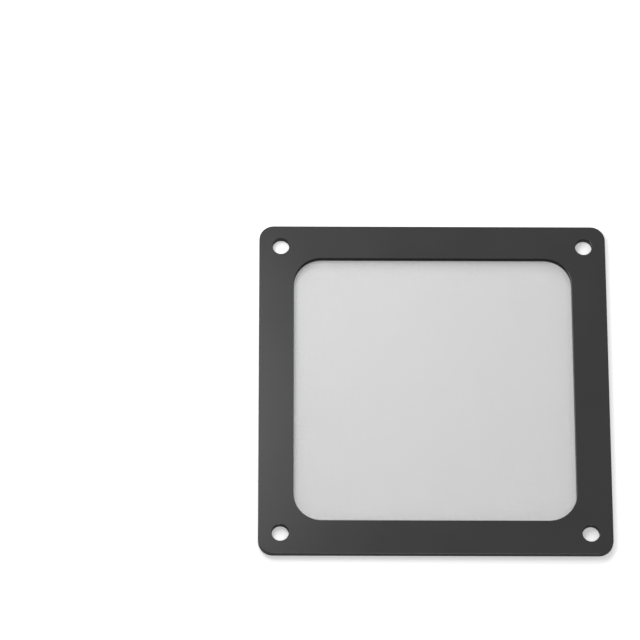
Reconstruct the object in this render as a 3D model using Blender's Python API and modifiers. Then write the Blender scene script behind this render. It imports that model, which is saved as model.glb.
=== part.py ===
"""Square fan dust filter: a fine net laminated between two die-cut PVC frames.

Metres, +Z up. The filter lies on its rear face at z = 0, centred on the origin.
"""

import math

import bmesh
import bpy

# Frames: driving dimensions
FRAME_SIDE = 0.120
BORDER_WIDTH = 0.012
OUTER_CORNER_RADIUS = 0.005
WINDOW_CORNER_RADIUS = 0.0095
HOLE_DIAMETER = 0.0058
HOLE_EDGE_DISTANCE = 0.0075
REAR_SHEET_THICKNESS = 0.001
FRONT_SHEET_THICKNESS = 0.001
CUT_EDGE_RADIUS = 0.00015

# Net: driving dimensions
NET_THICKNESS = 0.0003
NET_WALL = 0.0001
GAP_SIDE = 0.0042
GAP_PITCH = 0.010
THREAD_PITCH = 0.00075
THREAD_RISE = 0.00008
THREAD_TO_GAP = 0.0001

# Clearance between the net and each frame
BOND_GAP = 0.0001

# Fineness of the round stretches
OUTER_CORNER_STEPS = 10
WINDOW_CORNER_STEPS = 14
HOLE_STEPS = 32
THREAD_STEPS = 3
CUT_EDGE_RESOLUTION = 1
SMOOTH_ANGLE = math.radians(30)
FLAT_ANGLE = math.radians(0.1)
MERGE_DISTANCE = 1e-6

# Warp threads run along Y on the front face, and weft threads along X on the rear face
WARP_TURN = (math.pi / 2, 0.0, 0.0)
WEFT_TURN = (-math.pi / 2, 0.0, math.pi / 2)

# Derived sizes and heights
WINDOW_SIDE = FRAME_SIDE - 2 * BORDER_WIDTH
HOLE_OFFSET = FRAME_SIDE / 2 - HOLE_EDGE_DISTANCE
NET_BOTTOM = REAR_SHEET_THICKNESS + BOND_GAP
NET_MIDDLE = NET_BOTTOM + NET_THICKNESS / 2
FRONT_SHEET_BOTTOM = NET_BOTTOM + NET_THICKNESS + BOND_GAP

# The net's field: columns of open cells, and between them bands of threads that run unbroken
COLUMN_WIDTH = GAP_SIDE + 2 * THREAD_TO_GAP
BAND_WIDTH = GAP_PITCH - COLUMN_WIDTH
GAPS_ACROSS = int((WINDOW_SIDE - COLUMN_WIDTH) / GAP_PITCH) + 1
THREADS_IN_BAND = int(BAND_WIDTH / THREAD_PITCH)
FIELD_SIDE = (GAPS_ACROSS - 1) * GAP_PITCH + COLUMN_WIDTH


def clear_scene():
    """Remove every object that the scene starts with."""
    for item in list(bpy.data.objects):
        bpy.data.objects.remove(item, do_unlink=True)


def new_collection(name):
    """Return a new collection linked to the scene."""
    collection = bpy.data.collections.new(name)
    bpy.context.scene.collection.children.link(collection)
    return collection


def plastic(name, colour, roughness):
    """Return a Principled material for a non-metal."""
    material = bpy.data.materials.new(name)
    material.use_nodes = True
    shader = material.node_tree.nodes["Principled BSDF"]
    shader.inputs["Base Color"].default_value = (*colour, 1.0)
    shader.inputs["Roughness"].default_value = roughness
    shader.inputs["Metallic"].default_value = 0.0
    return material


def rounded_square(side, radius, steps):
    """Return the points of a square with round corners, anticlockwise."""
    reach = side / 2 - radius
    points = []
    for corner in range(4):
        middle = math.radians(45 + 90 * corner)
        centre_x = math.copysign(reach, math.cos(middle))
        centre_y = math.copysign(reach, math.sin(middle))
        for step in range(steps + 1):
            angle = math.radians(90 * corner + 90 * step / steps)
            points.append((centre_x + radius * math.cos(angle), centre_y + radius * math.sin(angle)))
    return points


def circle(centre, diameter, steps):
    """Return the points of a circle, anticlockwise."""
    points = []
    for step in range(steps):
        angle = 2 * math.pi * step / steps
        x = centre[0] + diameter / 2 * math.cos(angle)
        y = centre[1] + diameter / 2 * math.sin(angle)
        points.append((x, y))
    return points


def hole_centres():
    """Return the centres of the four screw holes."""
    return [(x, y) for x in (-HOLE_OFFSET, HOLE_OFFSET) for y in (-HOLE_OFFSET, HOLE_OFFSET)]


def extruded(name, collection, outlines, thickness, edge_radius=0.0):
    """Return a mesh object of flat outlines, as thick as said and centred on its own plane."""
    curve = bpy.data.curves.new(name, "CURVE")
    curve.dimensions = "2D"
    curve.fill_mode = "BOTH"
    curve.extrude = thickness / 2 - edge_radius
    curve.bevel_depth = edge_radius
    curve.bevel_resolution = CUT_EDGE_RESOLUTION
    curve.offset = -edge_radius
    for outline in outlines:
        spline = curve.splines.new("POLY")
        spline.points.add(len(outline) - 1)
        for point, (x, y) in zip(spline.points, outline):
            point.co = (x, y, 0.0, 1.0)
        spline.use_cyclic_u = True
    drawing = bpy.data.objects.new(name + "_drawing", curve)
    collection.objects.link(drawing)
    graph = bpy.context.evaluated_depsgraph_get()
    mesh = bpy.data.meshes.new_from_object(drawing.evaluated_get(graph))
    mesh.name = name
    shape = bmesh.new()
    shape.from_mesh(mesh)
    bmesh.ops.remove_doubles(shape, verts=shape.verts, dist=MERGE_DISTANCE)
    bmesh.ops.beautify_fill(shape, faces=shape.faces, edges=shape.edges)
    bmesh.ops.dissolve_limit(shape, angle_limit=FLAT_ANGLE, verts=[], edges=shape.edges)
    bmesh.ops.recalc_face_normals(shape, faces=shape.faces)
    shape.to_mesh(mesh)
    shape.free()
    result = bpy.data.objects.new(name, mesh)
    result.matrix_world = drawing.matrix_world
    collection.objects.link(result)
    bpy.data.objects.remove(drawing, do_unlink=True)
    return result


def dress(item, material):
    """Give an object its material and smooth its round walls."""
    item.data.materials.clear()
    item.data.materials.append(material)
    item.data.shade_smooth()
    item.data.set_sharp_from_angle(angle=SMOOTH_ANGLE)


def frame_sheet(name, collection, bottom, thickness, material):
    """Return one die-cut frame: outline, window and screw holes, with its cut edges eased."""
    outlines = [rounded_square(FRAME_SIDE, OUTER_CORNER_RADIUS, OUTER_CORNER_STEPS)]
    window = rounded_square(WINDOW_SIDE, WINDOW_CORNER_RADIUS, WINDOW_CORNER_STEPS)
    outlines.append(window[::-1])
    for centre in hole_centres():
        outlines.append(circle(centre, HOLE_DIAMETER, HOLE_STEPS)[::-1])
    sheet = extruded(name, collection, outlines, thickness, CUT_EDGE_RADIUS)
    sheet.location.z = bottom + thickness / 2
    dress(sheet, material)
    return sheet


def as_cutter(item):
    """Mark an object as a cutter, which is no piece of the filter."""
    item.hide_render = True
    item.display_type = "WIRE"


def add_array(item, name, step, count):
    """Repeat an object along a step, with no merging."""
    array = item.modifiers.new(name, "ARRAY")
    array.use_relative_offset = False
    array.use_constant_offset = True
    array.constant_offset_displace = step
    array.count = count
    array.use_merge_vertices = False


def thread_crest(middle):
    """Return the outline of one thread's crest, as a half round in a few steps."""
    points = []
    for step in range(THREAD_STEPS + 1):
        angle = math.pi * step / THREAD_STEPS
        x = middle - THREAD_PITCH / 2 * math.cos(angle)
        points.append((x, NET_WALL / 2 + THREAD_RISE * math.sin(angle)))
    return points


def weave_profile():
    """Return the outline of what is cut away above one face of the net, across its threads.

    It reaches a whole thickness above the net's middle, so it stands well clear of the face.
    """
    half = FIELD_SIDE / 2
    floor = NET_WALL / 2
    points = [(-half, floor)]
    for band in range(GAPS_ACROSS - 1):
        middle = (band - (GAPS_ACROSS - 2) / 2) * GAP_PITCH
        for thread in range(THREADS_IN_BAND):
            crest = thread_crest(middle + (thread - (THREADS_IN_BAND - 1) / 2) * THREAD_PITCH)
            points += crest if thread == 0 else crest[1:]
    return points + [(half, floor), (half, NET_THICKNESS), (-half, NET_THICKNESS)]


def weave_cutter(name, collection, rotation):
    """Return the cutter that leaves the thread ridges on one face of the net."""
    cutter = extruded(name, collection, [weave_profile()], FIELD_SIDE)
    cutter.location.z = NET_MIDDLE
    cutter.rotation_euler = rotation
    as_cutter(cutter)
    return cutter


def gap_cutter(collection):
    """Return the cutter of the net's open cells, twice its thickness, in even rows and columns."""
    bpy.ops.mesh.primitive_cube_add(size=1.0)
    cutter = bpy.context.object
    cutter.name = "gap_cutter"
    for owner in list(cutter.users_collection):
        owner.objects.unlink(cutter)
    collection.objects.link(cutter)
    for vertex in cutter.data.vertices:
        vertex.co.x *= GAP_SIDE
        vertex.co.y *= GAP_SIDE
        vertex.co.z *= 2 * NET_THICKNESS
    first = -(GAPS_ACROSS - 1) / 2 * GAP_PITCH
    cutter.location = (first, first, NET_MIDDLE)
    add_array(cutter, "columns", (GAP_PITCH, 0.0, 0.0), GAPS_ACROSS)
    add_array(cutter, "rows", (0.0, GAP_PITCH, 0.0), GAPS_ACROSS)
    as_cutter(cutter)
    return cutter


def cut(item, cutter):
    """Cut an object with another, exactly."""
    boolean = item.modifiers.new(cutter.name, "BOOLEAN")
    boolean.operation = "DIFFERENCE"
    boolean.solver = "EXACT"
    boolean.object = cutter


def net_sheet(collection, cutters, material):
    """Return the net: one wall, with warp ridges in front, weft ridges behind and open cells."""
    outlines = [rounded_square(FRAME_SIDE, OUTER_CORNER_RADIUS, OUTER_CORNER_STEPS)]
    for centre in hole_centres():
        outlines.append(circle(centre, HOLE_DIAMETER, HOLE_STEPS)[::-1])
    net = extruded("mesh_screen", collection, outlines, NET_THICKNESS)
    net.location.z = NET_MIDDLE
    cut(net, weave_cutter("warp_cutter", cutters, WARP_TURN))
    cut(net, weave_cutter("weft_cutter", cutters, WEFT_TURN))
    cut(net, gap_cutter(cutters))
    dress(net, material)
    return net


def main():
    """Build the filter: rear frame, net and front frame, from the bottom up."""
    clear_scene()
    parts = new_collection("fan_dust_filter")
    cutters = new_collection("cutters")
    pvc = plastic("black_pvc", (0.05, 0.05, 0.052), 0.55)
    net = plastic("net_black", (0.07, 0.07, 0.072), 0.6)
    frame_sheet("rear_frame", parts, 0.0, REAR_SHEET_THICKNESS, pvc)
    net_sheet(parts, cutters, net)
    frame_sheet("front_frame", parts, FRONT_SHEET_BOTTOM, FRONT_SHEET_THICKNESS, pvc)


main()
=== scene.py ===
"""Looks of the fan dust filter: its finishes, the woven net, the floor, the light and the camera."""

import math

import bmesh
import bpy
from mathutils import Matrix, Vector


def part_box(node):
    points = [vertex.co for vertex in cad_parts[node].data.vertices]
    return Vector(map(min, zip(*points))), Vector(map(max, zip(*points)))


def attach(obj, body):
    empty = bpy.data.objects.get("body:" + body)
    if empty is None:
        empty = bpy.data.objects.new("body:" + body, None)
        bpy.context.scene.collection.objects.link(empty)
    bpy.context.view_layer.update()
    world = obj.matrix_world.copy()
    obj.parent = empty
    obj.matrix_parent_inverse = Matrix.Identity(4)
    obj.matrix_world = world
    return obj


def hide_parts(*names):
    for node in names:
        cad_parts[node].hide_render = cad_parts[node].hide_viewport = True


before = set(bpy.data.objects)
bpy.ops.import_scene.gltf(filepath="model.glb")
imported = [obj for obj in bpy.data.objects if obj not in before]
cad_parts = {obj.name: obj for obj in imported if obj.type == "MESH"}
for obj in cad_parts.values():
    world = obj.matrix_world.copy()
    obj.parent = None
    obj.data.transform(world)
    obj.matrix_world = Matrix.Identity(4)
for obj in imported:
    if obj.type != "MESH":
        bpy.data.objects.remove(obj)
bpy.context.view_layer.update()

# Places read from the frame
REAR_LOW, REAR_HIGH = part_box("rear_frame")
FRONT_LOW, FRONT_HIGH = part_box("front_frame")
SIDE = FRONT_HIGH.x - FRONT_LOW.x
TOP = FRONT_HIGH.z
NET_MIDDLE = (REAR_HIGH.z + FRONT_LOW.z) / 2
SEAM_HEIGHT = FRONT_LOW.z - REAR_HIGH.z

# The frames' outline, as in the part
BORDER_WIDTH = 0.012
OUTER_CORNER_RADIUS = 0.005
WINDOW_CORNER_RADIUS = 0.0095
HOLE_DIAMETER = 0.0058
HOLE_EDGE_DISTANCE = 0.0075
WINDOW_SIDE = SIDE - 2 * BORDER_WIDTH
HOLE_OFFSET = SIDE / 2 - HOLE_EDGE_DISTANCE

# The net's threads, which run across the window and end inside the margin
THREAD_PITCH = 0.00030
THREAD_DIAMETER = 0.000051
THREAD_OVERLAP = 0.0012
THREAD_SIDES = 3
WARP_PIECES = 4

# The net's flat margin, which lies in the seam between the frames
MARGIN_SETBACK = 0.0003
MARGIN_CLEARANCE = 0.00001
MARGIN_WINDOW_SIDE = WINDOW_SIDE + 2 * MARGIN_SETBACK
MARGIN_WINDOW_RADIUS = WINDOW_CORNER_RADIUS + MARGIN_SETBACK
CORNER_STEPS = 16
HOLE_STEPS = 48
WELD_DISTANCE = 0.000001

# The frames' cut edges, told apart by their slope: 1 on the flat faces and 0 on the cut walls
EASED_EDGE_SLOPE = math.cos(math.radians(22.5))
EASED_EDGE_SPREAD = 0.04
WALL_START_SLOPE = 0.60
WALL_FULL_SLOPE = 0.20

# Linear colours, each with its alpha
PVC_DARK = (0.0130, 0.0130, 0.0132, 1.0)
PVC_LIGHT = (0.0170, 0.0170, 0.0173, 1.0)
# Painted shade: the cut walls get a darker colour than the faces, standing in for the shade that lies
# on them
PVC_WALL_PAINTED_SHADE = (0.005, 0.005, 0.0051, 1.0)
THREAD_DARK = (0.016, 0.016, 0.0165, 1.0)
THREAD_LIGHT = (0.030, 0.030, 0.0305, 1.0)
MARGIN_DARK = (0.012, 0.012, 0.0122, 1.0)
MARGIN_LIGHT = (0.022, 0.022, 0.0222, 1.0)
FLOOR_WHITE = (0.92, 0.92, 0.92, 1.0)
PURE_WHITE = (1.0, 1.0, 1.0, 1.0)

# Gloss
SATIN_ROUGHNESS = (0.31, 0.35)
EASED_EDGE_ROUGHNESS = 0.18
CUT_WALL_ROUGHNESS = 0.80
PVC_SPECULAR = 0.32
THREAD_ROUGHNESS = (0.38, 0.52)
MARGIN_ROUGHNESS = (0.55, 0.70)
FLOOR_ROUGHNESS = 0.9

# The range that a noise's values mostly fill
NOISE_LOW = 0.25
NOISE_HIGH = 0.75

# The camera, fitted to the filter's four holes and four edges in the photograph
PHOTO_WIDTH = 640
FOCAL_PIXELS = 4107.5
SENSOR_WIDTH = 36.0
CAMERA_TURNS = (-0.3860, 0.0110, 0.0010)
CAMERA_OFFSET = (0.039012, -0.023142, -1.405558)

# The floor, and the light added to it where the camera or a reflection sees it
FLOOR_SIZE = 4.0
FLOOR_DROP = 0.00002
FLOOR_LIFT = 0.28

# Lights: the world's strength, and each lamp's place, width, depth and power in watts
WORLD_LIGHT = 0.50
KEY = {"place": (0.05, 1.15, 0.80), "width": 0.60, "depth": 0.60, "power": 6.5}
SOFT_BOX = {"place": (-0.135, 0.108, 0.25), "width": 0.10, "depth": 0.18, "power": 0.43}
FRONT = {"place": (0.05, -0.59, 1.08), "width": 0.34, "depth": 0.14, "power": 0.8}

UP = Vector((0, 0, 1))


def new_material(name):
    """Return a new node material with its tree and its Principled shader."""
    material = bpy.data.materials.new(name)
    material.use_nodes = True
    tree = material.node_tree
    return material, tree, tree.nodes["Principled BSDF"]


def object_noise(tree, waves, detail, roughness=0.5, stretch=(1.0, 1.0, 1.0)):
    """Return a noise in object space, in waves per metre."""
    coordinates = tree.nodes.new("ShaderNodeTexCoord")
    mapping = tree.nodes.new("ShaderNodeMapping")
    mapping.inputs["Scale"].default_value = stretch
    noise = tree.nodes.new("ShaderNodeTexNoise")
    noise.inputs["Scale"].default_value = waves
    noise.inputs["Detail"].default_value = detail
    noise.inputs["Roughness"].default_value = roughness
    tree.links.new(coordinates.outputs["Object"], mapping.inputs["Vector"])
    tree.links.new(mapping.outputs["Vector"], noise.inputs["Vector"])
    return noise.outputs["Fac"]


def spread(tree, noise, low, high):
    """Return a value from low to high, following a noise."""
    ranging = tree.nodes.new("ShaderNodeMapRange")
    ranging.inputs["From Min"].default_value = NOISE_LOW
    ranging.inputs["From Max"].default_value = NOISE_HIGH
    ranging.inputs["To Min"].default_value = low
    ranging.inputs["To Max"].default_value = high
    tree.links.new(noise, ranging.inputs["Value"])
    return ranging.outputs["Result"]


def tint(tree, noise, dark, light):
    """Return a colour between two, following a noise."""
    mix = tree.nodes.new("ShaderNodeMix")
    mix.data_type = "RGBA"
    mix.inputs["A"].default_value = dark
    mix.inputs["B"].default_value = light
    tree.links.new(spread(tree, noise, 0.0, 1.0), mix.inputs["Factor"])
    return mix.outputs["Result"]


def bump(tree, shader, source, strength, height):
    """Raise the surface by a noise, over whatever bump the shader has already."""
    node = tree.nodes.new("ShaderNodeBump")
    node.inputs["Strength"].default_value = strength
    node.inputs["Distance"].default_value = height
    tree.links.new(source, node.inputs["Height"])
    for link in shader.inputs["Normal"].links:
        tree.links.new(link.from_socket, node.inputs["Normal"])
    tree.links.new(node.outputs["Normal"], shader.inputs["Normal"])


def surface_slope(tree):
    """Return how upright the surface faces: 1 on the flat faces and 0 on the cut walls."""
    coordinates = tree.nodes.new("ShaderNodeTexCoord")
    axes = tree.nodes.new("ShaderNodeSeparateXYZ")
    slope = tree.nodes.new("ShaderNodeMath")
    slope.operation = "ABSOLUTE"
    tree.links.new(coordinates.outputs["Normal"], axes.inputs["Vector"])
    tree.links.new(axes.outputs["Z"], slope.inputs[0])
    return slope.outputs["Value"]


def on_walls(tree, slope):
    """Return 1 on the walls that the die cut, and 0 on the faces."""
    ranging = tree.nodes.new("ShaderNodeMapRange")
    ranging.inputs["From Min"].default_value = WALL_START_SLOPE
    ranging.inputs["From Max"].default_value = WALL_FULL_SLOPE
    tree.links.new(slope, ranging.inputs["Value"])
    return ranging.outputs["Result"]


def on_eased_edge(tree, slope):
    """Return 1 on the eased edge between a face and its wall, and 0 elsewhere."""
    compare = tree.nodes.new("ShaderNodeMath")
    compare.operation = "COMPARE"
    compare.inputs[1].default_value = EASED_EDGE_SLOPE
    compare.inputs[2].default_value = EASED_EDGE_SPREAD
    tree.links.new(slope, compare.inputs[0])
    return compare.outputs["Value"]


def where(tree, share, value, other, kind="FLOAT"):
    """Return a value that gives way to another where the share is 1."""
    mix = tree.nodes.new("ShaderNodeMix")
    mix.data_type = kind
    mix.inputs["B"].default_value = other
    tree.links.new(share, mix.inputs["Factor"])
    tree.links.new(value, mix.inputs["A"])
    return mix.outputs["Result"]


def product(tree, first, second):
    """Return two values multiplied."""
    times = tree.nodes.new("ShaderNodeMath")
    times.operation = "MULTIPLY"
    tree.links.new(first, times.inputs[0])
    tree.links.new(second, times.inputs[1])
    return times.outputs["Value"]


def pvc_material():
    """Return the frames' black PVC: satin faces, smooth eased edges, and rough cut walls that carry
    painted shade as a darker colour.
    """
    material, tree, shader = new_material("black_pvc")
    mottle = object_noise(tree, waves=45.0, detail=4.0)
    grain = object_noise(tree, waves=2600.0, detail=2.0, roughness=0.6)
    wave = object_noise(tree, waves=16.0, detail=1.0)
    streaks = object_noise(tree, waves=2200.0, detail=2.0, stretch=(1.0, 1.0, 0.08))
    slope = surface_slope(tree)
    walls = on_walls(tree, slope)
    colour = tint(tree, mottle, PVC_DARK, PVC_LIGHT)
    # Painted shade: the cut walls take the darker colour; their higher roughness below is their real
    # matte finish
    colour = where(tree, walls, colour, PVC_WALL_PAINTED_SHADE, kind="RGBA")
    tree.links.new(colour, shader.inputs["Base Color"])
    roughness = spread(tree, mottle, *SATIN_ROUGHNESS)
    roughness = where(tree, on_eased_edge(tree, slope), roughness, EASED_EDGE_ROUGHNESS)
    roughness = where(tree, walls, roughness, CUT_WALL_ROUGHNESS)
    tree.links.new(roughness, shader.inputs["Roughness"])
    shader.inputs["Specular IOR Level"].default_value = PVC_SPECULAR
    bump(tree, shader, grain, strength=0.25, height=0.00003)
    bump(tree, shader, mottle, strength=0.10, height=0.0004)
    bump(tree, shader, wave, strength=0.35, height=0.0015)
    bump(tree, shader, product(tree, streaks, walls), strength=0.4, height=0.00003)
    return material


def thread_material():
    """Return the black monofilament of the net, a little uneven along its length."""
    material, tree, shader = new_material("net_thread")
    uneven = object_noise(tree, waves=900.0, detail=2.0)
    fine = object_noise(tree, waves=9000.0, detail=1.0)
    tree.links.new(tint(tree, uneven, THREAD_DARK, THREAD_LIGHT), shader.inputs["Base Color"])
    tree.links.new(spread(tree, uneven, *THREAD_ROUGHNESS), shader.inputs["Roughness"])
    bump(tree, shader, fine, strength=0.3, height=0.000006)
    return material


def margin_material():
    """Return the net's margin, pressed flat and soaked with the frames' plastic."""
    material, tree, shader = new_material("net_margin")
    pressed = object_noise(tree, waves=1800.0, detail=3.0)
    tree.links.new(tint(tree, pressed, MARGIN_DARK, MARGIN_LIGHT), shader.inputs["Base Color"])
    tree.links.new(spread(tree, pressed, *MARGIN_ROUGHNESS), shader.inputs["Roughness"])
    bump(tree, shader, pressed, strength=0.4, height=0.00004)
    return material


def linked(name, data):
    """Return a new object of some data, linked to the scene."""
    item = bpy.data.objects.new(name, data)
    bpy.context.scene.collection.objects.link(item)
    return item


def rounded_square(side, radius):
    """Return the points of a square with round corners, anticlockwise."""
    reach = side / 2 - radius
    points = []
    for corner in range(4):
        middle = math.radians(45 + 90 * corner)
        centre_x = math.copysign(reach, math.cos(middle))
        centre_y = math.copysign(reach, math.sin(middle))
        for step in range(CORNER_STEPS + 1):
            angle = math.radians(90 * corner + 90 * step / CORNER_STEPS)
            points.append((centre_x + radius * math.cos(angle), centre_y + radius * math.sin(angle)))
    return points


def circle(centre, diameter):
    """Return the points of a circle, clockwise, as the edge of a hole."""
    points = []
    for step in range(HOLE_STEPS):
        angle = -2 * math.pi * step / HOLE_STEPS
        x = centre[0] + diameter / 2 * math.cos(angle)
        y = centre[1] + diameter / 2 * math.sin(angle)
        points.append((x, y))
    return points


def margin_outlines():
    """Return the outlines of the net's margin: its edge, its window and its four holes."""
    window = rounded_square(MARGIN_WINDOW_SIDE, MARGIN_WINDOW_RADIUS)
    outlines = [rounded_square(SIDE, OUTER_CORNER_RADIUS), window[::-1]]
    for x in (-HOLE_OFFSET, HOLE_OFFSET):
        for y in (-HOLE_OFFSET, HOLE_OFFSET):
            outlines.append(circle((x, y), HOLE_DIAMETER))
    return outlines


def extruded(name, outlines, middle, half_height):
    """Return a closed mesh of flat outlines, reaching half its height above and below its middle."""
    curve = bpy.data.curves.new(name, "CURVE")
    curve.dimensions = "2D"
    curve.fill_mode = "BOTH"
    curve.extrude = half_height
    for outline in outlines:
        spline = curve.splines.new("POLY")
        spline.points.add(len(outline) - 1)
        for point, (x, y) in zip(spline.points, outline):
            point.co = (x, y, 0.0, 1.0)
        spline.use_cyclic_u = True
    drawing = linked(name + "_drawing", curve)
    graph = bpy.context.evaluated_depsgraph_get()
    mesh = bpy.data.meshes.new_from_object(drawing.evaluated_get(graph))
    bpy.data.objects.remove(drawing, do_unlink=True)
    mesh.transform(Matrix.Translation(middle * UP))
    shape = bmesh.new()
    shape.from_mesh(mesh)
    bmesh.ops.remove_doubles(shape, verts=shape.verts, dist=WELD_DISTANCE)
    bmesh.ops.recalc_face_normals(shape, faces=shape.faces)
    shape.to_mesh(mesh)
    shape.free()
    return mesh


def net_margin(material):
    """Return the net's flat margin, which fills the seam between the two frames."""
    half_height = SEAM_HEIGHT / 2 - MARGIN_CLEARANCE
    mesh = extruded("net_margin", margin_outlines(), NET_MIDDLE, half_height)
    mesh.materials.clear()
    mesh.materials.append(material)
    return linked("net_margin", mesh)


def thread_places():
    """Return the even places of one set of threads across the window."""
    count = int(WINDOW_SIDE / THREAD_PITCH)
    return [(k - (count - 1) / 2) * THREAD_PITCH for k in range(count)]


def thread_reach(place):
    """Return how far a thread runs to each side of the middle, to just inside the margin."""
    reach = WINDOW_SIDE / 2 + THREAD_OVERLAP
    radius = WINDOW_CORNER_RADIUS + THREAD_OVERLAP
    past = abs(place) - (reach - radius)
    return reach if past <= 0 else reach - radius + math.sqrt(radius ** 2 - past ** 2)


def weft_stations(place):
    """Return the stations of a straight weft thread, each a distance along it and a height."""
    reach = thread_reach(place)
    return [(-reach, 0.0), (reach, 0.0)]


def warp_stations(place, crossings, first_side):
    """Return the stations of a warp thread, over one weft thread and under the next."""
    reach = thread_reach(place)
    stations = [(-reach, 0.0)]
    for j, crossing in enumerate(crossings):
        if abs(crossing) < reach:
            stations.append((crossing, THREAD_DIAMETER if (j + first_side) % 2 else -THREAD_DIAMETER))
    return stations + [(reach, 0.0)]


def thread_section(across):
    """Return the corners of a thread's section, one on top, with sides as long as its diameter."""
    radius = THREAD_DIAMETER / 2 / math.sin(math.pi / THREAD_SIDES)
    corners = []
    for corner in range(THREAD_SIDES):
        angle = math.pi / 2 + 2 * math.pi * corner / THREAD_SIDES
        corners.append(radius * (math.cos(angle) * across + math.sin(angle) * UP))
    return corners


def thread_faces(first, rings):
    """Return the faces of one closed thread, from its first point and its number of rings."""
    faces = []
    for ring in range(rings - 1):
        near = first + ring * THREAD_SIDES
        far = near + THREAD_SIDES
        for corner in range(THREAD_SIDES):
            after = (corner + 1) % THREAD_SIDES
            faces.append((near + corner, near + after, far + after, far + corner))
    last = first + (rings - 1) * THREAD_SIDES
    faces.append([first + corner for corner in reversed(range(THREAD_SIDES))])
    faces.append([last + corner for corner in range(THREAD_SIDES)])
    return faces


def thread_set(name, threads, along, material):
    """Return one piece of many threads, each given as its place across and its stations."""
    across = along.cross(UP)
    section = thread_section(across)
    points = []
    faces = []
    for place, stations in threads:
        faces += thread_faces(len(points), len(stations))
        for distance, height in stations:
            middle = place * across + distance * along + (NET_MIDDLE + height) * UP
            points += [middle + corner for corner in section]
    mesh = bpy.data.meshes.new(name)
    mesh.from_pydata(points, [], faces)
    mesh.validate()
    mesh.shade_smooth()
    mesh.materials.append(material)
    return linked(name, mesh)


def build_net():
    """Make the net's pieces, which stand for the plain net of the part: straight weft, crimped warp."""
    places = thread_places()
    thread = thread_material()
    weft = [(place, weft_stations(place)) for place in places]
    threads = [thread_set("net_weft", weft, Vector((1, 0, 0)), thread)]
    for share in range(WARP_PIECES):
        warp = [(place, warp_stations(place, places, share)) for place in places[share::WARP_PIECES]]
        threads.append(thread_set(f"net_warp_{share + 1}", warp, Vector((0, 1, 0)), thread))
    margin = net_margin(margin_material())
    for piece in (margin, *threads):
        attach(piece, "root")
        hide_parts("mesh_screen")


def dress_frames():
    """Give both frames their plastic."""
    pvc = pvc_material()
    for name in ("rear_frame", "front_frame"):
        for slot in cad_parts[name].material_slots:
            slot.material = pvc


def shown_strength(tree, plain, shown):
    """Return the shown strength to the camera, a mirror or glass, and the plain one to all else."""
    light_path = tree.nodes.new("ShaderNodeLightPath")
    seen = light_path.outputs["Is Camera Ray"]
    for kind in ("Is Glossy Ray", "Is Transmission Ray"):
        either = tree.nodes.new("ShaderNodeMath")
        either.operation = "MAXIMUM"
        tree.links.new(seen, either.inputs[0])
        tree.links.new(light_path.outputs[kind], either.inputs[1])
        seen = either.outputs["Value"]
    strength = tree.nodes.new("ShaderNodeMapRange")
    strength.inputs["To Min"].default_value = plain
    strength.inputs["To Max"].default_value = shown
    tree.links.new(seen, strength.inputs["Value"])
    return strength.outputs["Result"]


def make_world():
    """Make a plain world, which lights at its own strength and shows as white."""
    world = bpy.data.worlds.new("studio")
    world.use_nodes = True
    bpy.context.scene.world = world
    tree = world.node_tree
    background = tree.nodes["Background"]
    background.inputs["Color"].default_value = PURE_WHITE
    tree.links.new(shown_strength(tree, WORLD_LIGHT, 1.0), background.inputs["Strength"])


def make_floor():
    """Make the white floor, which shows as white but keeps the shadows."""
    bpy.ops.mesh.primitive_plane_add(size=FLOOR_SIZE, location=(0.0, 0.0, REAR_LOW.z - FLOOR_DROP))
    floor = bpy.context.object
    floor.name = "floor"
    material, tree, shader = new_material("white_floor")
    shader.inputs["Base Color"].default_value = FLOOR_WHITE
    shader.inputs["Roughness"].default_value = FLOOR_ROUGHNESS
    shader.inputs["Specular IOR Level"].default_value = 0.0
    shader.inputs["Emission Color"].default_value = PURE_WHITE
    tree.links.new(shown_strength(tree, 0.0, FLOOR_LIFT), shader.inputs["Emission Strength"])
    floor.data.materials.append(material)


def area_light(name, place, width, depth, power):
    """Make a rectangular area light that faces the filter."""
    light = bpy.data.lights.new(name, "AREA")
    light.shape = "RECTANGLE"
    light.size = width
    light.size_y = depth
    light.energy = power
    lamp = linked(name, light)
    lamp.location = place
    lamp.rotation_euler = (-Vector(place)).to_track_quat("-Z", "Y").to_euler()


def make_lights():
    """Make a key light behind, a small soft box over the left side and a lamp for the front edges."""
    area_light("key", **KEY)
    area_light("soft_box", **SOFT_BOX)
    area_light("front", **FRONT)


def make_camera():
    """Make the camera that sees the filter as the photograph does."""
    camera = bpy.data.cameras.new("camera")
    camera.sensor_width = SENSOR_WIDTH
    camera.lens = FOCAL_PIXELS * SENSOR_WIDTH / PHOTO_WIDTH
    seen_from = Matrix.Translation(CAMERA_OFFSET)
    for turn, axis in zip(CAMERA_TURNS, "XYZ"):
        seen_from = seen_from @ Matrix.Rotation(turn, 4, axis)
    eye = linked("camera", camera)
    eye.matrix_world = Matrix.Translation(TOP * UP) @ seen_from.inverted()
    bpy.context.scene.camera = eye


dress_frames()
build_net()
make_world()
make_floor()
make_lights()
make_camera()
bpy.context.scene.view_settings.view_transform = "Standard"
